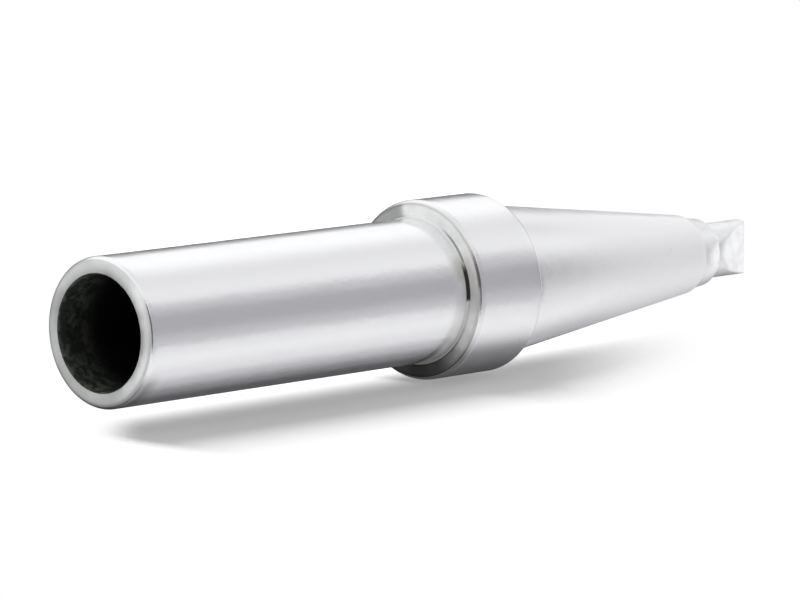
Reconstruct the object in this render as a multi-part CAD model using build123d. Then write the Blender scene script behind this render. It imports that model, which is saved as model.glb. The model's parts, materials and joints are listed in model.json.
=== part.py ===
from build123d import *
import math
import os

# Chisel soldering tip with a hollow shank, turned in one piece, plated, and tinned at its end.
# It stands on the flat open end of the shank, and the origin is the centre of that end.
# Z runs along the axis to the chisel edge, the edge lies along Y, and the flats face +X and -X.
# All sizes are in millimetres and degrees.

# Shank, a tube that slips over the heater
shank_diameter = 6.5
shank_length = 19.4
rear_rim_rounding = 0.3

# Blind bore for the heater, with the cone that the drill leaves at its bottom
bore_diameter = 5.0
bore_depth = 24.0
drill_point_angle = 118.0
mouth_break = 0.06

# Collar that the retaining sleeve bears on, standing out from the shank
collar_height = 0.8
collar_width = 4.05
collar_rear_rounding = 0.35
collar_front_rounding = 0.12
collar_root_fillet = 0.2

# Plated body, a slender cone set back from the collar's rim
front_shoulder_width = 0.5
body_length = 14.0
body_end_diameter = 3.76

# Tinned stub, a little smaller than the plated body, and its shoulder
plating_step = 0.12
stub_length = 1.3
shoulder_angle = 45.0
shoulder_rounding = 0.15

# Chisel blade: a round neck with two flats that run down to a blunt edge
blade_width = 2.6
blade_land = 0.2
flat_length = 2.8
edge_thickness = 0.75
edge_rounding = 0.12

# Radii, and the taper that the body and the stub share
shank_radius = shank_diameter / 2
bore_radius = bore_diameter / 2
collar_radius = shank_radius + collar_height
body_root_radius = collar_radius - front_shoulder_width
body_end_radius = body_end_diameter / 2
taper = (body_root_radius - body_end_radius) / body_length
stub_root_radius = body_end_radius - plating_step
stub_end_radius = stub_root_radius - stub_length * taper
blade_radius = blade_width / 2

# Shoulder between the stub and the blade: its rise, its slope's length, and a rounding that fits it
shoulder_rise = stub_end_radius - blade_radius
shoulder_slope = shoulder_rise / math.sin(math.radians(shoulder_angle))
shoulder_fillet = min(shoulder_rounding, shoulder_slope)

# Heights along the axis, from the rear end
collar_rear = shank_length
collar_front = collar_rear + collar_width
body_end = collar_front + body_length
stub_end = body_end + stub_length
blade_root = stub_end + shoulder_rise / math.tan(math.radians(shoulder_angle))
flat_root = blade_root + blade_land
overall_length = flat_root + flat_length
bore_apex = bore_depth + bore_radius / math.tan(math.radians(drill_point_angle / 2))


def turned_section():
    """Half section of the turned blank: each corner's radius from the axis, height and rounding."""
    corners = [
        (0, bore_apex, 0),
        (bore_radius, bore_depth, 0),
        (bore_radius, mouth_break, 0),
        (bore_radius + mouth_break, 0, 0),
        (shank_radius, 0, rear_rim_rounding),
        (shank_radius, collar_rear, collar_root_fillet),
        (collar_radius, collar_rear, collar_rear_rounding),
        (collar_radius, collar_front, collar_front_rounding),
        (body_root_radius, collar_front, collar_root_fillet),
        (body_end_radius, body_end, plating_step / 2),
        (stub_root_radius, body_end, 0),
        (stub_end_radius, stub_end, shoulder_fillet),
        (blade_radius, blade_root, shoulder_fillet),
        (blade_radius, overall_length, 0),
        (0, overall_length, 0),
    ]
    points = [(radius, height) for radius, height, _ in corners]
    roundings = [rounding for _, _, rounding in corners]
    with BuildSketch(Plane.XZ) as section:
        with BuildLine():
            FilletPolyline(*points, radius=roundings, close=True)
        make_face()
    return section.sketch


def flat_cutter():
    """Wedge of metal that is ground away to make the flat on the +X side of the blade."""
    clear = blade_width
    with BuildPart() as cutter:
        with BuildSketch(Plane.XZ):
            with BuildLine():
                Polyline(
                    (blade_radius, flat_root),
                    (edge_thickness / 2, overall_length),
                    (edge_thickness / 2, overall_length + clear),
                    (blade_radius + clear, overall_length + clear),
                    (blade_radius + clear, flat_root),
                    close=True,
                )
            make_face()
        extrude(amount=clear, both=True)
    return cutter.part


def soldering_tip():
    """The turned blank with both flats ground and the chisel edge rounded over."""
    blank = revolve(turned_section(), axis=Axis.Z)
    cutter = flat_cutter()
    tip = blank - cutter - mirror(cutter, about=Plane.YZ)
    end_face = tip.faces().sort_by(Axis.Z)[-1]
    return fillet(end_face.edges(), radius=edge_rounding)


os.makedirs("parts", exist_ok=True)
export_step(soldering_tip(), "parts/soldering_tip.step")
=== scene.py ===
import bpy
import json
import math
import numpy as np
from mathutils import Matrix, Vector, noise


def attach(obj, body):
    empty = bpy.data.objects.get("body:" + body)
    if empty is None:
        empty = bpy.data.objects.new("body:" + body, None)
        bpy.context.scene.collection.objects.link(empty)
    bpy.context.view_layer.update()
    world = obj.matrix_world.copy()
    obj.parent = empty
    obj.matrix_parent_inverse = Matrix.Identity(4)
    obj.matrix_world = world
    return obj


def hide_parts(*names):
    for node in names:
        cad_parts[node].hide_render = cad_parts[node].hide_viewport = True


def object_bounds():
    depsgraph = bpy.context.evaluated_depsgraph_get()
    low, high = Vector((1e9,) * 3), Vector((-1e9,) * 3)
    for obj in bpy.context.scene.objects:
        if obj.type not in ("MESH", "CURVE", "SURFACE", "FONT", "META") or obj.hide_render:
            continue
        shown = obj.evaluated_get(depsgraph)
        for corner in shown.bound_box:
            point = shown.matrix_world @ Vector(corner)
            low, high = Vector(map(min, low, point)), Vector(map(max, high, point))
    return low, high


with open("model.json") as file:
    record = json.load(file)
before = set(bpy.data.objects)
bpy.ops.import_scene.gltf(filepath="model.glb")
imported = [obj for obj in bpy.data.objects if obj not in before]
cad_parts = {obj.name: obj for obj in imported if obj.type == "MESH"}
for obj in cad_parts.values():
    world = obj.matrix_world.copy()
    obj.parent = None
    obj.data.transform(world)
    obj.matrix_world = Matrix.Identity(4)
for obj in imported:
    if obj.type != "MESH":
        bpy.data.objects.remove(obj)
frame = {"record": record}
cad_low, cad_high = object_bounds()

MM = 0.001
mounts = {mount["name"]: mount for mount in frame["record"]["mounts"]}

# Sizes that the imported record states, in millimetres
SHANK_RADIUS = mounts["shank"]["dims"]["r_mm"]
BORE_RADIUS = mounts["heater_bore"]["dims"]["r_mm"]
COLLAR_RADIUS = mounts["collar"]["dims"]["r_mm"]
COLLAR_REAR = mounts["rear_shoulder"]["pos_m"][2] / MM
COLLAR_FRONT = mounts["front_shoulder"]["pos_m"][2] / MM
TIP_LENGTH = cad_high.z / MM

# Sizes of the turned form, as in the part, in millimetres and degrees
MOUTH_BREAK = 0.06
BORE_DEPTH = 24.0
DRILL_POINT_ANGLE = 118.0
REAR_RIM_ROUNDING = 0.3
COLLAR_REAR_ROUNDING = 0.35
COLLAR_FRONT_ROUNDING = 0.12
COLLAR_ROOT_FILLET = 0.2
FRONT_SHOULDER_WIDTH = 0.5
BODY_LENGTH = 14.0
BODY_END_RADIUS = 1.88
PLATING_STEP = 0.12
STUB_LENGTH = 1.3
SHOULDER_ROUNDING = 0.15
BLADE_RADIUS = 1.3
FLAT_LENGTH = 2.8
EDGE_THICKNESS = 0.75
EDGE_ROUNDING = 0.12

# Radii, and heights along the axis; the shoulder between the stub and the blade slopes at 45 degrees
COLLAR_WIDTH = COLLAR_FRONT - COLLAR_REAR
BODY_ROOT_RADIUS = COLLAR_RADIUS - FRONT_SHOULDER_WIDTH
TAPER = (BODY_ROOT_RADIUS - BODY_END_RADIUS) / BODY_LENGTH
BODY_END = COLLAR_FRONT + BODY_LENGTH
STUB_END = BODY_END + STUB_LENGTH
STUB_END_RADIUS = BODY_END_RADIUS - PLATING_STEP - STUB_LENGTH * TAPER
BLADE_ROOT = STUB_END + STUB_END_RADIUS - BLADE_RADIUS
BORE_APEX = BORE_DEPTH + BORE_RADIUS / math.tan(math.radians(DRILL_POINT_ANGLE / 2))

# How finely the mesh follows the form, in points, radians and millimetres, and the sizes of the
# end cap's rings as shares of the last ring round it
RING_POINTS = 192
OUTLINE_STEPS = 180
ARC_STEP = math.radians(8)
LONG_STEP = 0.5
TIN_STEP = 0.09
END_CAP_SHARES = (0.66, 0.33)

# Soft change-over between the round neck and a flat, in millimetres, and the least cosine that a
# flat's distance is divided by
FLAT_BLEND = 0.1
LEAST_COSINE = 1e-6

# A strip that gains less height than this share of its change of radius belongs to a turned face
TURNED_FACE_SLOPE = 0.7

# Small unevenness of the real surface: heights and lengths in millimetres, waves per millimetre
BURR_HEIGHT = 0.05
BURR_DEPTH = 0.5
BURR_WAVES = ((1.1, 1.0), (4.5, 0.6), (7.0, 0.4))
TIN_WAVE = 0.014
TIN_WAVES_PER_MM = 0.9
TIN_WAVE_START = STUB_LENGTH / 3

# The photograph's upright direction is +Y, and the camera looks at the open end from below. Angles
# are in degrees, lengths in millimetres.
PHOTO_UP = Vector((0, 1, 0))
CAMERA_AZIMUTH = 259.28
CAMERA_ELEVATION = -42.75
CAMERA_DISTANCE = 217.83
CAMERA_AIM = Vector((-0.066, -0.328, 18.37))
CAMERA_LENS = 232.84
CAMERA_SENSOR = 36
CAMERA_NEAR = 10
CAMERA_FAR = 2000


def direction(azimuth, elevation):
    """Unit vector from the object: azimuth 0 is -Y, 90 is +X, and elevation is towards +Z."""
    a = math.radians(azimuth)
    e = math.radians(elevation)
    return Vector((math.sin(a) * math.cos(e), -math.cos(a) * math.cos(e), math.sin(e)))


def aim(place, target, up):
    """Matrix of a camera or lamp at a place, looking at a target, with its top towards up."""
    depth = (place - target).normalized()
    right = up.cross(depth).normalized()
    return Matrix.Translation(place) @ Matrix((right, depth.cross(right), depth)).transposed().to_4x4()


# Form

def rounded_profile(corners):
    """Points (radius, height) along a chain of straight runs whose corners are rounded by arcs."""
    points = [Vector(corners[0][:2])]
    for before, corner, after in zip(corners, corners[1:], corners[2:]):
        here = Vector(corner[:2])
        rounding = corner[2]
        if not rounding:
            points.append(here)
            continue
        back = (Vector(before[:2]) - here).normalized()
        ahead = (Vector(after[:2]) - here).normalized()
        half = back.angle(ahead) / 2
        centre = here + (back + ahead).normalized() * rounding / math.sin(half)
        start = here + back * rounding / math.tan(half) - centre
        end = here + ahead * rounding / math.tan(half) - centre
        turn = start.angle_signed(end)
        steps = max(2, math.ceil(abs(turn) / ARC_STEP))
        for step in range(steps + 1):
            points.append(centre + Matrix.Rotation(-turn * step / steps, 2) @ start)
    points.append(Vector(corners[-1][:2]))
    return points


def subdivided(points, longest):
    """The same chain with no run longer than the given length."""
    chain = [points[0]]
    for start, end in zip(points, points[1:]):
        steps = max(1, math.ceil((end - start).length / longest))
        chain += [start.lerp(end, step / steps) for step in range(1, steps + 1)]
    return chain


def soft_min(a, b, width):
    """The smaller of two lengths, with a rounded change-over of the given width."""
    overlap = np.maximum(width - np.abs(a - b), 0) / width
    return np.minimum(a, b) - overlap ** 2 * width / 4


def ring_outline(radius, half_thickness):
    """Points round a disc with two flats facing +X and -X, evenly spaced within each quarter."""
    angle = np.linspace(0, math.pi / 2, OUTLINE_STEPS)
    flat = half_thickness / np.maximum(np.cos(angle), LEAST_COSINE)
    reach = soft_min(radius, flat, FLAT_BLEND)
    x = reach * np.cos(angle)
    y = reach * np.sin(angle)
    run = np.concatenate(([0], np.cumsum(np.hypot(np.diff(x), np.diff(y)))))
    even = np.linspace(0, run[-1], RING_POINTS // 4 + 1)
    quarter = np.column_stack((np.interp(even, run, x), np.interp(even, run, y)))
    half = np.vstack((quarter, quarter[-2::-1] * (-1, 1)))
    return np.vstack((half, half[-2:0:-1] * (1, -1)))


def flat_half_thickness(height):
    """Half the distance between the planes of the two flats at a height."""
    rise = (BLADE_RADIUS - EDGE_THICKNESS / 2) / FLAT_LENGTH
    return EDGE_THICKNESS / 2 + (TIP_LENGTH - height) * rise


def ring_at(radius, height, inset=0):
    """One ring of points round the axis, cut by the flats and drawn in by the inset."""
    outline = ring_outline(radius - inset, flat_half_thickness(height) - inset)
    return np.column_stack((outline, np.full(len(outline), height)))


def bore_rings():
    """From the bottom of the bore to its mouth, which has the uneven burr of a drilled edge."""
    profile = rounded_profile([
        (0, BORE_APEX),
        (BORE_RADIUS, BORE_DEPTH, 0),
        (BORE_RADIUS, MOUTH_BREAK),
    ])
    rings = [ring_at(point.x, point.y) for point in subdivided(profile, LONG_STEP)[1:]]
    for ring in rings:
        fade = max(0, 1 - ring[0, 2] / BURR_DEPTH)
        for point in ring:
            burr = sum(share * noise.noise(Vector(point) * per_mm) for per_mm, share in BURR_WAVES)
            point[:2] *= 1 - BURR_HEIGHT * fade * burr / BORE_RADIUS
    return rings


def outer_rings():
    """The rear face, shank, collar and plated body."""
    profile = rounded_profile([
        (BORE_RADIUS + MOUTH_BREAK, 0),
        (SHANK_RADIUS, 0, REAR_RIM_ROUNDING),
        (SHANK_RADIUS, COLLAR_REAR, COLLAR_ROOT_FILLET),
        (COLLAR_RADIUS, COLLAR_REAR, COLLAR_REAR_ROUNDING),
        (COLLAR_RADIUS, COLLAR_FRONT, COLLAR_FRONT_ROUNDING),
        (BODY_ROOT_RADIUS, COLLAR_FRONT, COLLAR_ROOT_FILLET),
        (BODY_END_RADIUS, BODY_END, PLATING_STEP / 2),
        (BODY_END_RADIUS - PLATING_STEP, BODY_END),
    ])
    return [ring_at(point.x, point.y) for point in subdivided(profile, LONG_STEP)]


def tin_rings():
    """The tinned stub, its shoulder and the blade, with the slow waves of solder."""
    profile = rounded_profile([
        (BODY_END_RADIUS - PLATING_STEP, BODY_END),
        (STUB_END_RADIUS, STUB_END, SHOULDER_ROUNDING),
        (BLADE_RADIUS, BLADE_ROOT, SHOULDER_ROUNDING),
        (BLADE_RADIUS, TIP_LENGTH - EDGE_ROUNDING),
    ])
    rings = [ring_at(point.x, point.y) for point in subdivided(profile, TIN_STEP)[1:]]
    steps = math.ceil(math.pi / 2 / ARC_STEP)
    for step in range(1, steps + 1):
        turn = math.pi / 2 * step / steps
        height = TIP_LENGTH - EDGE_ROUNDING * (1 - math.sin(turn))
        rings.append(ring_at(BLADE_RADIUS, height, EDGE_ROUNDING * (1 - math.cos(turn))))
    for ring in rings:
        fade = min(1, (ring[0, 2] - BODY_END) / TIN_WAVE_START)
        for point in ring:
            wave = noise.noise(Vector(point) * TIN_WAVES_PER_MM)
            point[:2] *= 1 + TIN_WAVE * fade * wave / STUB_END_RADIUS
    return rings


def strip_material(group, next_group, ring, next_ring):
    """Which material the strip between two rings has."""
    if group == "bore":
        return "bore"
    radial, _, axial = np.abs(next_ring[0] - ring[0])
    if next_group == "plating" and axial < radial * TURNED_FACE_SLOPE and ring[0, 2] < BODY_END:
        return "turned_face"
    return next_group


def tip_mesh():
    """One closed skin from the bottom of the bore, round the rear rim, to the chisel edge."""
    tin = tin_rings()
    end_cap = [tin[-1] * (share, share, 1) for share in END_CAP_SHARES]
    groups = [("bore", bore_rings()), ("plating", outer_rings()), ("tin", tin + end_cap)]
    rings = [(group, ring) for group, members in groups for ring in members]
    vertices = np.vstack([ring for _, ring in rings] + [[(0, 0, BORE_APEX)], [(0, 0, TIP_LENGTH)]])
    bottom = len(rings) * RING_POINTS
    top = bottom + 1
    last = bottom - RING_POINTS
    steps = [(k, (k + 1) % RING_POINTS) for k in range(RING_POINTS)]
    faces = [(bottom, k, after) for k, after in steps]
    materials = ["bore"] * RING_POINTS
    for index, ((group, ring), (next_group, next_ring)) in enumerate(zip(rings, rings[1:])):
        low = index * RING_POINTS
        high = low + RING_POINTS
        faces += [(low + k, high + k, high + after, low + after) for k, after in steps]
        materials += [strip_material(group, next_group, ring, next_ring)] * RING_POINTS
    faces += [(last + k, top, last + after) for k, after in steps]
    materials += ["tin"] * RING_POINTS
    mesh = bpy.data.meshes.new("soldering_tip_skin")
    mesh.from_pydata((vertices * MM).tolist(), [], faces)
    return mesh, materials


# Nodes

def node(tree, kind, settings=None, **inputs):
    """Adds a shader node, sets its properties, and sets or links its inputs.

    An input is called by its name, with _ for a space, or by i and its number.
    """
    made = tree.nodes.new("ShaderNode" + kind)
    for name, value in (settings or {}).items():
        setattr(made, name, value)
    for name, value in inputs.items():
        socket = made.inputs[int(name[1:]) if name[1:].isdigit() else name.replace("_", " ")]
        if isinstance(value, bpy.types.NodeSocket):
            tree.links.new(value, socket)
        else:
            socket.default_value = value
    return made


def math_node(tree, operation, *values):
    """The result of a Math node."""
    inputs = {f"i{index}": value for index, value in enumerate(values)}
    return node(tree, "Math", {"operation": operation}, **inputs).outputs[0]


def ramp(tree, value, low, high, bottom=0.0, top=1.0):
    """Goes smoothly from bottom to top as the value goes from low to high."""
    settings = {"interpolation_type": "SMOOTHSTEP"}
    limits = {"From_Min": low, "From_Max": high, "To_Min": bottom, "To_Max": top}
    return node(tree, "MapRange", settings, Value=value, **limits).outputs[0]


def fall(tree, value, low, high):
    """Goes smoothly from one to zero as the value goes from low to high."""
    return ramp(tree, value, low, high, 1.0, 0.0)


def times(tree, *factors):
    """The product of several numbers."""
    product = factors[0]
    for factor in factors[1:]:
        product = math_node(tree, "MULTIPLY", product, factor)
    return product


def window(tree, value, rise_from, rise_to, fall_from, fall_to):
    """One between two limits, with soft sides."""
    return times(tree, ramp(tree, value, rise_from, rise_to), fall(tree, value, fall_from, fall_to))


def plus(tree, *terms):
    """The sum of several numbers."""
    total = terms[0]
    for term in terms[1:]:
        total = math_node(tree, "ADD", total, term)
    return total


def either(tree, *shares):
    """The largest of several shares."""
    largest = shares[0]
    for share in shares[1:]:
        largest = math_node(tree, "MAXIMUM", largest, share)
    return largest


def scaled(tree, vector, by):
    """A place or colour multiplied by another, component by component, or by one number."""
    return node(tree, "VectorMath", {"operation": "MULTIPLY"}, i0=vector, i1=by).outputs[0]


def mix_colour(tree, share, first, second):
    """The first colour where the share is 0, and the second where it is 1."""
    return node(tree, "Mix", {"data_type": "RGBA"}, i0=share, i6=first, i7=second).outputs[2]


def grey(level):
    """An opaque grey."""
    return (level, level, level, 1)


def new_material(name):
    """A material, its node tree and its shader."""
    material = bpy.data.materials.new(name)
    material.use_nodes = True
    tree = material.node_tree
    return material, tree, tree.nodes["Principled BSDF"]


def grain(tree, place, per_mm, detail=3.0, distortion=0.0):
    """Noise with about so many grains to the millimetre."""
    inputs = {"Scale": per_mm / MM, "Detail": detail, "Distortion": distortion}
    return node(tree, "TexNoise", None, Vector=place, **inputs).outputs[0]


def bump(tree, height, depth, under=None):
    """Shading relief of a height pattern whose full swing is so many millimetres deep."""
    made = node(tree, "Bump", None, Height=height, Strength=1.0, Distance=depth * MM)
    if under:
        tree.links.new(under, made.inputs["Normal"])
    return made.outputs[0]


def angle_round_axis(tree, x, y):
    """The angle from -X towards +Y, in degrees."""
    turn = math_node(tree, "ARCTAN2", y, math_node(tree, "MULTIPLY", x, -1.0))
    return math_node(tree, "MULTIPLY", turn, math.degrees(1))


def place_round_axis(tree):
    """Where a point of the tip lies: its place, and its angle, radius and height in mm."""
    place = node(tree, "TexCoord").outputs["Object"]
    x, y, height = node(tree, "SeparateXYZ", None, Vector=scaled(tree, place, (1 / MM,) * 3)).outputs
    squares = plus(tree, times(tree, x, x), times(tree, y, y))
    return place, angle_round_axis(tree, x, y), math_node(tree, "SQRT", squares), height


FULL_TURN = 360


def share_of_turn(tree, angle):
    """The angle as a share of one turn, so that -180 degrees is 0 and 180 degrees is 1."""
    return math_node(tree, "MULTIPLY_ADD", angle, 1 / FULL_TURN, 0.5)


def band_ramp(tree, turn, bands):
    """Colour round the axis, from a list of (angle, colour) that runs from -180 to 180 degrees."""
    made = node(tree, "ValToRGB", None, Fac=turn)
    made.color_ramp.interpolation = "EASE"
    stops = made.color_ramp.elements
    for angle, _ in bands[1:-1]:
        stops.new(angle / FULL_TURN + 0.5)
    for stop, (_, colour) in zip(stops, bands):
        stop.color = colour
    return made.outputs[0]


# Materials

# Usual range of a noise, and the middle of that range
NOISE_RANGE = (0.3, 0.7)
NOISE_MIDDLE = (0.35, 0.65)

# How the flux stains and the painted shade are written. A FILM says how thick a stain or a shade is:
# one number, or two limits and how thick it is at each. Any other value with four numbers says where
# a stain or shade starts, is full, starts to fade and ends. With two numbers it says where it starts
# and is full, or, if its name ends in OFF, where it starts to fade and ends. RISE is a height above the
# collar's rear face and PAST one above its front face, in millimetres. Angles run from -X towards +Y,
# in degrees. GRAINS are the grains of a noise to the millimetre, and RAGGED is how far a noise moves a
# stain's edge. ROOT, THIN and FRONT are burnt flux; FILLET, EDGE, LIP, UNDER, BELOW and FRONT_EDGE
# are painted shade.
RAGGED_GRAINS = 1.5
RAGGED_FLUX_AND_SHADE = (-1.5, 1.5)
CORNER_RADIUS_OFF = (SHANK_RADIUS + 0.12, SHANK_RADIUS + 0.17)
CORNER_RISE_OFF = (0.05, 0.1)
FILLET_RISE = (-0.2, -0.15)
FILLET_FILM = (-60, 20, 0.5, 0.08)
ROOT_RISE = (-0.16, -0.11)
ROOT_ANGLES = (-5, -2, 17, 31)
THIN_RISE = (-0.08, -0.04)
THIN_ANGLES = (20, 30, 45, 68)
THIN_FILM = 0.6
RIM_RADIUS = (COLLAR_RADIUS - 0.24, COLLAR_RADIUS - 0.16)
EDGE_RISE = (0.02, 0.05, 0.1, 0.14)
EDGE_ANGLES = (2, 9, 115, 135)
EDGE_FILM = (20, 32, 0.62, 0.18)
LIP_RISE = (0.03, 0.06, 0.2, 0.36)
LIP_ANGLES = (-130, -110, 115, 140)
LIP_FILM = (-48, -18, 0.78, 0.04)
UNDER_RISE = (0.1, 0.3, COLLAR_WIDTH - 0.1, COLLAR_WIDTH)
UNDER_ANGLES = (-150, -75, -42, -22)
UNDER_FILM = (-74, -58, 1.0, 0.6)
BELOW_RISE = (-4, -0.3, 0, 0.05)
BELOW_ANGLES = (-150, -80, -64, -44)
BELOW_FILM = 0.45
FRONT_EDGE_PAST = (-0.16, -0.1, 0, 0.05)
FRONT_EDGE_RADIUS = (COLLAR_RADIUS - 0.16, COLLAR_RADIUS - 0.1)
FRONT_EDGE_FILM = (30, 60, 0.26, 0.4)
FRONT_PAST = (0, 0.15, 0.25, 1)
FRONT_RADIUS_OFF = (BODY_ROOT_RADIUS, BODY_ROOT_RADIUS + 0.1)
FRONT_ANGLES = (-18, 0, 5, 24)
FRONT_GRAINS = 2.6
FRONT_PATCH_FILM = (0.3, 0.55, 0.55, 1.0)
FRONT_FILM = 0.6

# Colour of the burnt flux, which the painted shade uses too; two thicknesses of either, with how
# metallic the surface stays at each, and what it adds to the roughness
FLUX_AND_SHADE_COLOUR = (0.022, 0.019, 0.016, 1)
FLUX_AND_SHADE_COVERS = (0.6, 1.0, 1.0, 0.3)
FLUX_AND_SHADE_ROUGHNESS = 0.2


def collar_flux_and_shade(tree, rise, angle, uneven, radius):
    """Flux in the corner by the collar's rear face, and painted shade in the fillet, on the rim and
    below.
    """
    corner = times(tree, fall(tree, radius, *CORNER_RADIUS_OFF), fall(tree, rise, *CORNER_RISE_OFF))
    rim = ramp(tree, radius, *RIM_RADIUS)
    # Painted shade in the fillet, strongest underneath, that dims its highlight
    fillet = times(tree, corner, ramp(tree, rise, *FILLET_RISE), ramp(tree, angle, *FILLET_FILM))
    root = times(tree, corner, ramp(tree, rise, *ROOT_RISE), window(tree, uneven, *ROOT_ANGLES))
    thin = times(tree, corner, ramp(tree, rise, *THIN_RISE), window(tree, angle, *THIN_ANGLES), THIN_FILM)
    # Painted dark line along the collar's rear rim: a painted reflection of the dark camera
    edge = times(
        tree,
        window(tree, rise, *EDGE_RISE),
        rim,
        window(tree, uneven, *EDGE_ANGLES),
        ramp(tree, angle, *EDGE_FILM),
    )
    # Painted shade on the rounding of the rim, strongest underneath, that dims its highlight
    lip = times(
        tree,
        window(tree, rise, *LIP_RISE),
        rim,
        window(tree, angle, *LIP_ANGLES),
        ramp(tree, angle, *LIP_FILM),
    )
    # Painted shade on the collar's underside, a painted reflection of the shadowed paper beside it
    under = times(
        tree,
        window(tree, rise, *UNDER_RISE),
        window(tree, angle, *UNDER_ANGLES),
        ramp(tree, angle, *UNDER_FILM),
    )
    # Painted shade on the shank's underside just behind the collar
    below = times(tree, window(tree, rise, *BELOW_RISE), window(tree, angle, *BELOW_ANGLES), BELOW_FILM)
    return either(tree, fillet, root, thin, edge, lip, under, below)


def front_flux_and_shade(tree, place, past, angle, uneven, radius):
    """Flux at the root of the cone, and a painted dark line along the collar's front edge."""
    # Painted dark line along the collar's front rim
    edge = times(
        tree,
        window(tree, past, *FRONT_EDGE_PAST),
        ramp(tree, radius, *FRONT_EDGE_RADIUS),
        ramp(tree, angle, *FRONT_EDGE_FILM),
    )
    root = times(
        tree,
        window(tree, past, *FRONT_PAST),
        fall(tree, radius, *FRONT_RADIUS_OFF),
        window(tree, uneven, *FRONT_ANGLES),
        ramp(tree, grain(tree, place, FRONT_GRAINS), *FRONT_PATCH_FILM),
        FRONT_FILM,
    )
    return either(tree, edge, root)


def flux_and_painted_shade(tree, place, angle, radius, height):
    """Flux and painted shade: how thick each is."""
    uneven = plus(tree, angle, ramp(tree, grain(tree, place, RAGGED_GRAINS), *NOISE_RANGE, *RAGGED_FLUX_AND_SHADE))
    rise = plus(tree, height, -COLLAR_REAR)
    past = plus(tree, height, -COLLAR_FRONT)
    at_rear = collar_flux_and_shade(tree, rise, angle, uneven, radius)
    return either(tree, at_rear, front_flux_and_shade(tree, place, past, angle, uneven, radius))


def stain_and_shade_metal(tree, shader, flux_and_shade, clean, roughness):
    """Flux or painted shade as a thin film only darkens the metal, and a thick film covers it."""
    tree.links.new(mix_colour(tree, flux_and_shade, clean, FLUX_AND_SHADE_COLOUR), shader.inputs["Base Color"])
    tree.links.new(ramp(tree, flux_and_shade, *FLUX_AND_SHADE_COVERS), shader.inputs["Metallic"])
    rough = plus(tree, roughness, times(tree, flux_and_shade, FLUX_AND_SHADE_ROUGHNESS))
    tree.links.new(rough, shader.inputs["Roughness"])


# Plating: where and how it changes from the shank's colour and gloss to the satin end of the cone
PLATING_COLOUR = (0.86, 0.863, 0.872, 1)
PLATING_END_COLOUR = (0.965, 0.966, 0.97, 1)
PLATING_CHANGE = (COLLAR_FRONT + 1, BODY_END - 3)
SATIN_ROUGHNESS = 0.34
GLOSSY_TOP = 0.26
GLOSSY_TOP_ANGLES = (60, 76, 110, 140)
CONE_STARTS = (COLLAR_FRONT - 0.05, COLLAR_FRONT + 0.15)
CONE_ROUGHNESS = 0.12
CLOUD_GRAINS = 1.2
CLOUDY_ROUGHNESS = (0.16, 0.2)
DULL_RISE = (-1.1, -0.35, 0, 0.05)
DULL_ROUGHNESS = 0.28

# Faint specks, a painted warm reflection of the collar's face on the shank beside the flux, and a
# brown darkening by the rear rim, partly a brown stain and partly painted shade that dims its highlight
SPECK_COLOUR = (0.74, 0.74, 0.75, 1)
SPECK_GRAINS = 6.0
SPECK_FILM = (0.68, 0.78, 0.0, 0.4)
PAINTED_REFLECTION_COLOUR = (0.5, 0.485, 0.4, 1)
PAINTED_REFLECTION_RISE = (-0.8, -0.4, -0.1, 0)
PAINTED_REFLECTION_ANGLES = (10, 17, 26, 36)
PAINTED_REFLECTION_FILM = 0.45
BROWN_COLOUR = (0.16, 0.145, 0.135, 1)
BROWN_ANGLES = (-125, -100, -42, -24)
BROWN_FILM = (0.1, 1.2, 0.62, 0.0)

# Relief of the plating, as slow waves, fine ripples, the rings of the lathe, and pits: how much the
# grains are squeezed along X, Y and Z, how many there are to the millimetre, how much detail they
# have and how many millimetres deep they are
PLATING_RELIEF = [
    ((1.0, 1.0, 0.6), 0.5, 2.0, 0.02),
    ((1.0, 1.0, 1.0), 4.0, 2.0, 0.005),
    ((0.2, 0.2, 9.0), 2.0, 3.0, 0.0006),
    ((1.0, 1.0, 1.0), 11.0, 2.0, 0.0008),
]


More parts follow.
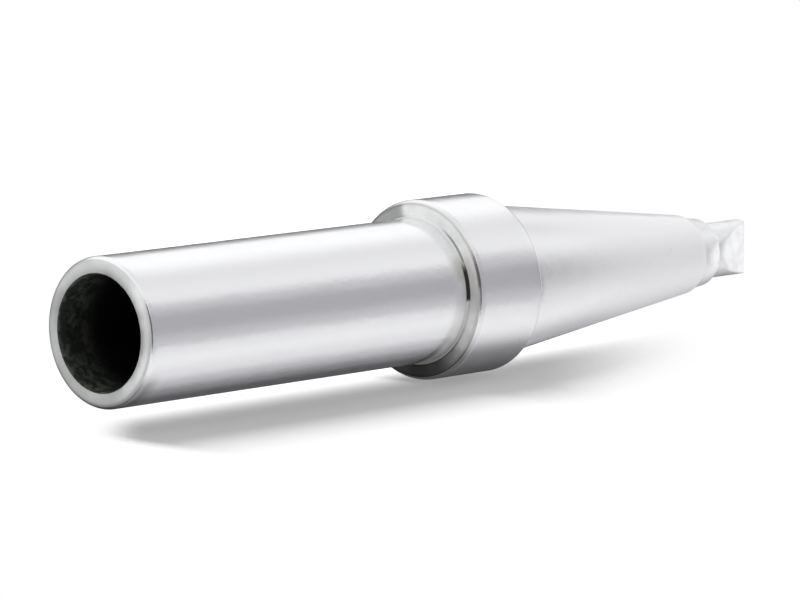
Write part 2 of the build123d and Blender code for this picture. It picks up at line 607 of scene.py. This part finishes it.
def plating_material():
    """Bright plating on the shank, collar and cone, with its stains, painted shade and a painted
    reflection.
    """
    material, tree, shader = new_material("plating")
    place, angle, radius, height = place_round_axis(tree)
    rise = plus(tree, height, -COLLAR_REAR)
    towards_end = ramp(tree, height, *PLATING_CHANGE)
    colour = mix_colour(tree, towards_end, PLATING_COLOUR, PLATING_END_COLOUR)
    specks = ramp(tree, grain(tree, place, SPECK_GRAINS, detail=2.0), *SPECK_FILM)
    colour = mix_colour(tree, specks, colour, SPECK_COLOUR)
    # Painted reflection of the collar's face on the shank, warm and darker
    painted_reflection = times(tree, window(tree, rise, *PAINTED_REFLECTION_RISE), window(tree, angle, *PAINTED_REFLECTION_ANGLES), PAINTED_REFLECTION_FILM)
    colour = mix_colour(tree, painted_reflection, colour, PAINTED_REFLECTION_COLOUR)
    # Brown darkening by the rear rim underneath: partly a stain, partly painted shade that dims its
    # highlight
    brown = times(tree, window(tree, angle, *BROWN_ANGLES), ramp(tree, height, *BROWN_FILM))
    colour = mix_colour(tree, brown, colour, BROWN_COLOUR)
    cloudy = ramp(tree, grain(tree, place, CLOUD_GRAINS), *NOISE_MIDDLE, *CLOUDY_ROUGHNESS)
    dull = times(tree, window(tree, rise, *DULL_RISE), DULL_ROUGHNESS)
    cone = times(tree, ramp(tree, height, *CONE_STARTS), CONE_ROUGHNESS)
    glossy_top = times(tree, window(tree, angle, *GLOSSY_TOP_ANGLES), GLOSSY_TOP)
    satin = times(tree, towards_end, math_node(tree, "SUBTRACT", SATIN_ROUGHNESS, glossy_top))
    flux_and_shade = flux_and_painted_shade(tree, place, angle, radius, height)
    stain_and_shade_metal(tree, shader, flux_and_shade, colour, plus(tree, cloudy, dull, cone, satin))
    relief = None
    for squeeze, per_mm, detail, depth in PLATING_RELIEF:
        relief = bump(tree, grain(tree, scaled(tree, place, squeeze), per_mm, detail), depth, relief)
    tree.links.new(relief, shader.inputs["Normal"])
    return material


# How light the turned faces are, as (angle from -X towards +Y, lightness). Heat has stained the
# collar's face, darkest below. The rest is painted: the dips near 0 degrees are painted reflections of
# the dark camera, the dark crescent from about 106 degrees on the collar's face is a painted
# reflection, and the rear face is painted lighter on the side towards -X.
COLLAR_FACE_TONES = [
    (-180, 0.45),
    (-125, 0.10),
    (-88, 0.04),
    (-68, 0.09),
    (-50, 0.26),
    (-30, 0.75),
    (-20, 0.88),
    (0, 0.61),
    (12, 0.66),
    (40, 0.87),
    (96, 0.84),
    (106, 0.39),
    (180, 0.45),
]
REAR_FACE_TONES = [
    (-180, 0.57),
    (-162, 0.57),
    (-140, 0.46),
    (-75, 0.50),
    (-25, 0.82),
    (0, 0.60),
    (38, 0.83),
    (60, 0.66),
    (80, 0.73),
    (130, 0.67),
    (160, 0.48),
    (180, 0.57),
]
FRONT_FACE_TONE = 0.8
RAGGED_TONES = (-2.0, 2.0)
# Heights between which one face's tones give way to the next one's
REAR_TO_COLLAR = (1, 2)
COLLAR_TO_FRONT = (COLLAR_REAR + 1, COLLAR_REAR + 2)
# Tints of the clean and the browned metal, and the angles between which the brown fades
CLEAN_TINT = (0.985, 1.0, 0.985, 1)
BROWNED_TINT = (1.0, 0.988, 0.965, 1)
BROWNED_OFF = (22, 50)
# How light the patches are, and two radii with how light the collar's face is at each
PATCH_GRAINS = 0.8
PATCHES = (0.94, 1.06)
FACE_RIM_SHADE = (COLLAR_RADIUS - COLLAR_REAR_ROUNDING, COLLAR_RADIUS - 0.15, 1.0, 0.85)
FACE_ROUGHNESS = 0.5
FACE_GRAINS = 9.0
FACE_RELIEF = 0.003


def turned_face_material():
    """The dull turned faces at the rear end and on both sides of the collar."""
    material, tree, shader = new_material("turned_face")
    place, angle, radius, height = place_round_axis(tree)
    ragged = ramp(tree, grain(tree, place, RAGGED_GRAINS, detail=2.0), *NOISE_RANGE, *RAGGED_TONES)
    turn = share_of_turn(tree, plus(tree, angle, ragged))
    # Tones round both faces: painted reflections and painted shade, and the heat stain low on the
    # collar's face
    rear_face = band_ramp(tree, turn, [(stop, grey(tone)) for stop, tone in REAR_FACE_TONES])
    collar_face = band_ramp(tree, turn, [(stop, grey(tone)) for stop, tone in COLLAR_FACE_TONES])
    on_collar = ramp(tree, height, *REAR_TO_COLLAR)
    tone = mix_colour(tree, on_collar, rear_face, collar_face)
    tone = mix_colour(tree, ramp(tree, height, *COLLAR_TO_FRONT), tone, grey(FRONT_FACE_TONE))
    browned = times(tree, on_collar, fall(tree, angle, *BROWNED_OFF))
    tinted = scaled(tree, tone, mix_colour(tree, browned, CLEAN_TINT, BROWNED_TINT))
    patches = ramp(tree, grain(tree, place, PATCH_GRAINS), *NOISE_MIDDLE, *PATCHES)
    shade = times(tree, patches, ramp(tree, radius, *FACE_RIM_SHADE))
    flux_and_shade = flux_and_painted_shade(tree, place, angle, radius, height)
    stain_and_shade_metal(tree, shader, flux_and_shade, scaled(tree, tinted, shade), FACE_ROUGHNESS)
    tree.links.new(bump(tree, grain(tree, place, FACE_GRAINS), FACE_RELIEF), shader.inputs["Normal"])
    return material


# Bore: a crust of oxide at its mouth, with lighter flakes, and painted shade deeper in, from these
# heights on
OXIDE_COLOUR = (0.014, 0.018, 0.015, 1)
RUST_COLOUR = (0.075, 0.082, 0.066, 1)
DEEP_SHADE_COLOUR = grey(0.002)
CRUST_GRAINS = 2.2
CRUST = (0.42, 0.66)
FLAKE_GRAINS = 5.0
FLAKE_FILM = (0.5, 0.72, 0.0, 0.35)
RAGGED_DEEP_SHADE = (-0.3, 0.3)
DEEP_SHADE_STARTS = (1.4, 2.5)
BORE_ROUGHNESS = 0.62
BORE_SPECULAR = 0.3
CRUST_RELIEF = 0.07


def bore_material():
    """The burnt inside of the bore, with painted shade further in."""
    material, tree, shader = new_material("bore")
    place, _, _, height = place_round_axis(tree)
    crust = grain(tree, place, CRUST_GRAINS, detail=5.0, distortion=0.5)
    flakes = ramp(tree, grain(tree, place, FLAKE_GRAINS, detail=4.0), *FLAKE_FILM)
    rust = plus(tree, ramp(tree, crust, *CRUST), flakes)
    oxide = mix_colour(tree, rust, OXIDE_COLOUR, RUST_COLOUR)
    uneven = plus(tree, height, ramp(tree, crust, *NOISE_RANGE, *RAGGED_DEEP_SHADE))
    # Painted shade, nearly black, deeper in the bore
    deep_shade = ramp(tree, uneven, *DEEP_SHADE_STARTS)
    tree.links.new(mix_colour(tree, deep_shade, oxide, DEEP_SHADE_COLOUR), shader.inputs["Base Color"])
    shader.inputs["Roughness"].default_value = BORE_ROUGHNESS
    shader.inputs["Specular IOR Level"].default_value = BORE_SPECULAR
    tree.links.new(bump(tree, crust, CRUST_RELIEF), shader.inputs["Normal"])
    return material


# Tin: bright, with duller patches
TIN_COLOUR = (0.89, 0.895, 0.9, 1)
DULL_TIN_COLOUR = (0.82, 0.82, 0.83, 1)
DULL_TIN_GRAINS = 1.6
DULL_TIN = (0.4, 0.7)
TIN_ROUGHNESS = (0.36, 0.46)
TIN_ROUGHNESS_GRAINS = 2.2
TIN_GRAINS = 1.1
TIN_RELIEF = 0.012


def tin_material():
    """Solder on the stub and the blade."""
    material, tree, shader = new_material("tin")
    place = node(tree, "TexCoord").outputs["Object"]
    shader.inputs["Metallic"].default_value = 1
    dull = ramp(tree, grain(tree, place, DULL_TIN_GRAINS, detail=4.0), *DULL_TIN)
    tree.links.new(mix_colour(tree, dull, TIN_COLOUR, DULL_TIN_COLOUR), shader.inputs["Base Color"])
    rough = ramp(tree, grain(tree, place, TIN_ROUGHNESS_GRAINS), *NOISE_RANGE, *TIN_ROUGHNESS)
    tree.links.new(rough, shader.inputs["Roughness"])
    relief = bump(tree, grain(tree, place, TIN_GRAINS, detail=1.0), TIN_RELIEF)
    tree.links.new(relief, shader.inputs["Normal"])
    return material


def add_tip():
    """The whole tip as one piece."""
    mesh, slots = tip_mesh()
    materials = {
        "plating": plating_material(),
        "turned_face": turned_face_material(),
        "bore": bore_material(),
        "tin": tin_material(),
    }
    names = list(materials)
    for material in materials.values():
        mesh.materials.append(material)
    mesh.polygons.foreach_set("material_index", [names.index(slot) for slot in slots])
    mesh.polygons.foreach_set("use_smooth", [True] * len(mesh.polygons))
    mesh.validate()
    piece = bpy.data.objects.new("soldering_tip_skin", mesh)
    bpy.context.scene.collection.objects.link(piece)
    piece.modifiers.new("even_normals", "WEIGHTED_NORMAL")
    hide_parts("soldering_tip")
    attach(piece, "root")


# Studio

# Light that metal sees round the axis: the angle from -X towards +Y, and how bright it is there.
# TIP is what lies nearly straight ahead of the chisel end, FRONT is more to its sides, and REAR lies
# towards the open end.
TIP_BANDS = [
    (-180, 0.45),
    (-125, 0.58),
    (-112, 0.44),
    (-95, 0.84),
    (-75, 1.04),
    (-35, 0.79),
    (5, 0.42),
    (15, 0.42),
    (60, 1.02),
    (75, 1.00),
    (97, 0.80),
    (131, 1.06),
    (150, 0.55),
    (162, 0.08),
    (180, 0.45),
]
FRONT_BANDS = [
    (-180, 0.22),
    (-168, 0.09),
    (-128, 0.10),
    (-108, 0.25),
    (-88, 0.54),
    (-70, 0.84),
    (-45, 0.98),
    (-30, 0.91),
    (-16, 0.62),
    (4, 0.475),
    (20, 0.475),
    (34, 0.63),
    (50, 0.95),
    (80, 0.89),
    (120, 1.15),
    (145, 1.11),
    (157, 0.52),
    (168, 0.22),
    (180, 0.22),
]
REAR_BANDS = [
    (-180, 1.12),
    (-150, 0.95),
    (-125, 0.34),
    (-95, 0.40),
    (-70, 0.90),
    (-40, 1.00),
    (-15, 0.55),
    (15, 0.45),
    (45, 0.95),
    (90, 1.00),
    (120, 1.10),
    (150, 1.00),
    (180, 1.12),
]
# Heights of a direction, as the sine of its elevation, between which one set gives way to the next
REAR_TO_FRONT = (-0.5, -0.15)
FRONT_TO_TIP = (0.75, 0.785)
# A lamp straight ahead of the chisel end, which brightens only what is satin there
END_LIGHT = 1.2
END_LIGHT_HEIGHTS = (0.91, 0.96)
# The dark camera, as the metal sees it: heights and angles where the shade starts, is full and ends
CAMERA_SHADE = 0.05
SHADE_HEIGHTS = (-0.85, -0.78, -0.62, -0.55)
SHADE_ANGLES = (-34, -19, 41, 56)
# Shades are a little bluer than lights: the tint of a full shade, the level that has no tint, and
# how much darker than that a full shade is
SHADE_TINT = (-0.03, -0.035, 0.01)
UNTINTED_LEVEL = 1.1
SHADE_DEPTH = 0.6
# Light that is mirrored by two surfaces instead of one is partly evened out, towards this level
MIRROR_SURFACES = (1, 2)
EVEN_LIGHT = 1.1
EVEN_SHARE = 0.35


def cooled(bands):
    """The same bands with their shades tinted, as (angle, colour)."""
    tinted = []
    for angle, level in bands:
        shade = min(1, max(0, (UNTINTED_LEVEL - level) / SHADE_DEPTH))
        tinted.append((angle, (*[level * (1 + tint * shade) for tint in SHADE_TINT], 1)))
    return tinted


def add_world():
    """The studio that the metal mirrors, in front of a white that the camera sees."""
    world = bpy.data.worlds.new("studio")
    bpy.context.scene.world = world
    world.use_nodes = True
    tree = world.node_tree
    way = node(tree, "TexCoord").outputs["Generated"]
    x, y, z = node(tree, "SeparateXYZ", None, Vector=way).outputs
    angle = angle_round_axis(tree, x, y)
    turn = share_of_turn(tree, angle)
    rear = band_ramp(tree, turn, cooled(REAR_BANDS))
    front = band_ramp(tree, turn, cooled(FRONT_BANDS))
    ahead = band_ramp(tree, turn, cooled(TIP_BANDS))
    light = mix_colour(tree, ramp(tree, z, *REAR_TO_FRONT), rear, front)
    light = mix_colour(tree, ramp(tree, z, *FRONT_TO_TIP), light, ahead)
    light = mix_colour(tree, ramp(tree, z, *END_LIGHT_HEIGHTS), light, grey(END_LIGHT))
    rays = node(tree, "LightPath").outputs
    again = ramp(tree, rays["Glossy Depth"], *MIRROR_SURFACES)
    first = math_node(tree, "SUBTRACT", 1.0, again)
    shade = times(tree, window(tree, z, *SHADE_HEIGHTS), window(tree, angle, *SHADE_ANGLES), first)
    light = mix_colour(tree, shade, light, grey(CAMERA_SHADE))
    light = mix_colour(tree, times(tree, again, EVEN_SHARE), light, grey(EVEN_LIGHT))
    seen = either(tree, rays["Is Camera Ray"], rays["Is Transmission Ray"])
    tree.links.new(mix_colour(tree, seen, light, grey(1)), tree.nodes["Background"].inputs["Color"])


# Paper under and beside the tip: the grey that takes the light, and its own glow, which keeps the
# shadow on it pale. The floor fades out from a share of its reach on. Lengths are in millimetres.
PAPER_GREY = 0.15
PAPER_GLOW = 0.32
FLOOR_REACH = 60
FLOOR_FADE_SHARE = 0.2
FLOOR_GAP = 0.02
PAPER_REACH = 80
PAPER_GAP = 0.1
PAPER_RISE = 2.0
# Direction in which the backdrop paper runs, and where along it the paper fades in and out
PAPER_RUN = (-0.686, 0, 0.728)
PAPER_ENDS = (-0.3, 1.9, 19.5, 28.5)


def paper_material(name, fade):
    """White paper seen only from its front, which fades out where the given function says."""
    material, tree, shader = new_material(name)
    tree.nodes.remove(shader)
    place = node(tree, "TexCoord").outputs["Object"]
    paper = node(tree, "BsdfDiffuse", None, Color=grey(PAPER_GREY)).outputs[0]
    glow = node(tree, "Emission", None, Color=grey(1), Strength=PAPER_GLOW).outputs[0]
    lit = node(tree, "AddShader", None, i0=paper, i1=glow).outputs[0]
    clear = node(tree, "BsdfTransparent").outputs[0]
    behind = node(tree, "NewGeometry").outputs["Backfacing"]
    hidden = either(tree, fade(tree, place), behind)
    shown = node(tree, "MixShader", None, i0=hidden, i1=lit, i2=clear).outputs[0]
    tree.links.new(shown, tree.nodes["Material Output"].inputs["Surface"])
    return material


def fade_at_rim(tree, place):
    """How much of the floor is gone, which grows with the distance from the tip."""
    far = node(tree, "VectorMath", {"operation": "LENGTH"}, i0=place).outputs["Value"]
    return ramp(tree, far, FLOOR_REACH * FLOOR_FADE_SHARE * MM, FLOOR_REACH * MM)


def fade_at_ends(tree, place):
    """How much of the backdrop is gone, which grows towards both ends of its run."""
    run = node(tree, "VectorMath", {"operation": "DOT_PRODUCT"}, i0=place, i1=PAPER_RUN).outputs["Value"]
    in_mm = math_node(tree, "MULTIPLY", run, 1 / MM)
    return math_node(tree, "SUBTRACT", 1.0, window(tree, in_mm, *PAPER_ENDS))


def add_paper(name, corners, faces, fade):
    """A sheet of backdrop paper that only the camera sees."""
    mesh = bpy.data.meshes.new(name)
    mesh.from_pydata([Vector(corner) * MM for corner in corners], [], faces)
    mesh.materials.append(paper_material(name, fade))
    sheet = bpy.data.objects.new(name, mesh)
    bpy.context.scene.collection.objects.link(sheet)
    sheet.visible_diffuse = False
    sheet.visible_glossy = False
    sheet.visible_transmission = False
    sheet.visible_shadow = False


def add_floor():
    """The floor that the tip stands on, just below the rear face."""
    reach = FLOOR_REACH
    square = [(-reach, -reach), (reach, -reach), (reach, reach), (-reach, reach)]
    add_paper("floor", [(x, y, -FLOOR_GAP) for x, y in square], [(0, 1, 2, 3)], fade_at_rim)


def add_backdrop():
    """Paper beside the tip that takes its shadow, bent up a little in front of the collar."""
    low = -COLLAR_RADIUS - PAPER_GAP
    rows = [(-PAPER_REACH, low), (COLLAR_FRONT, low), (PAPER_REACH, low + PAPER_RISE)]
    corners = [(x, y, z) for z, y in rows for x in (-PAPER_REACH, PAPER_REACH)]
    add_paper("backdrop", corners, [(0, 2, 3, 1), (2, 4, 5, 3)], fade_at_ends)


# Soft lamps: azimuth and elevation in degrees, width and height in millimetres, power in watts
LAMP_DISTANCE = 300
LAMPS = {
    "key": (142, 4, 330, 70, 6.2),
    "top": (180, 80, 120, 120, 2.8),
}


def add_lamp(name, azimuth, elevation, width, height, power):
    """A soft lamp that lights the tip, its width level and its height along Z where that can be."""
    data = bpy.data.lights.new(name, "AREA")
    data.shape = "ELLIPSE"
    data.size = width * MM
    data.size_y = height * MM
    data.energy = power
    lamp = bpy.data.objects.new(name, data)
    bpy.context.scene.collection.objects.link(lamp)
    middle = Vector((0, 0, TIP_LENGTH / 2)) * MM
    place = middle + direction(azimuth, elevation) * LAMP_DISTANCE * MM
    lamp.matrix_world = aim(place, middle, Vector((0, 0, 1)))
    lamp.visible_glossy = False


def add_camera():
    """The camera at the photograph's viewing angle."""
    data = bpy.data.cameras.new("camera")
    data.sensor_width = CAMERA_SENSOR
    data.lens = CAMERA_LENS
    data.clip_start = CAMERA_NEAR * MM
    data.clip_end = CAMERA_FAR * MM
    camera = bpy.data.objects.new("camera", data)
    bpy.context.scene.collection.objects.link(camera)
    place = direction(CAMERA_AZIMUTH, CAMERA_ELEVATION) * CAMERA_DISTANCE * MM
    camera.matrix_world = aim(place, CAMERA_AIM * MM, PHOTO_UP)
    bpy.context.scene.camera = camera


add_camera()
add_world()
add_tip()
add_backdrop()
add_floor()
for lamp_name, lamp_values in LAMPS.items():
    add_lamp(lamp_name, *lamp_values)
bpy.context.scene.view_settings.view_transform = "Standard"
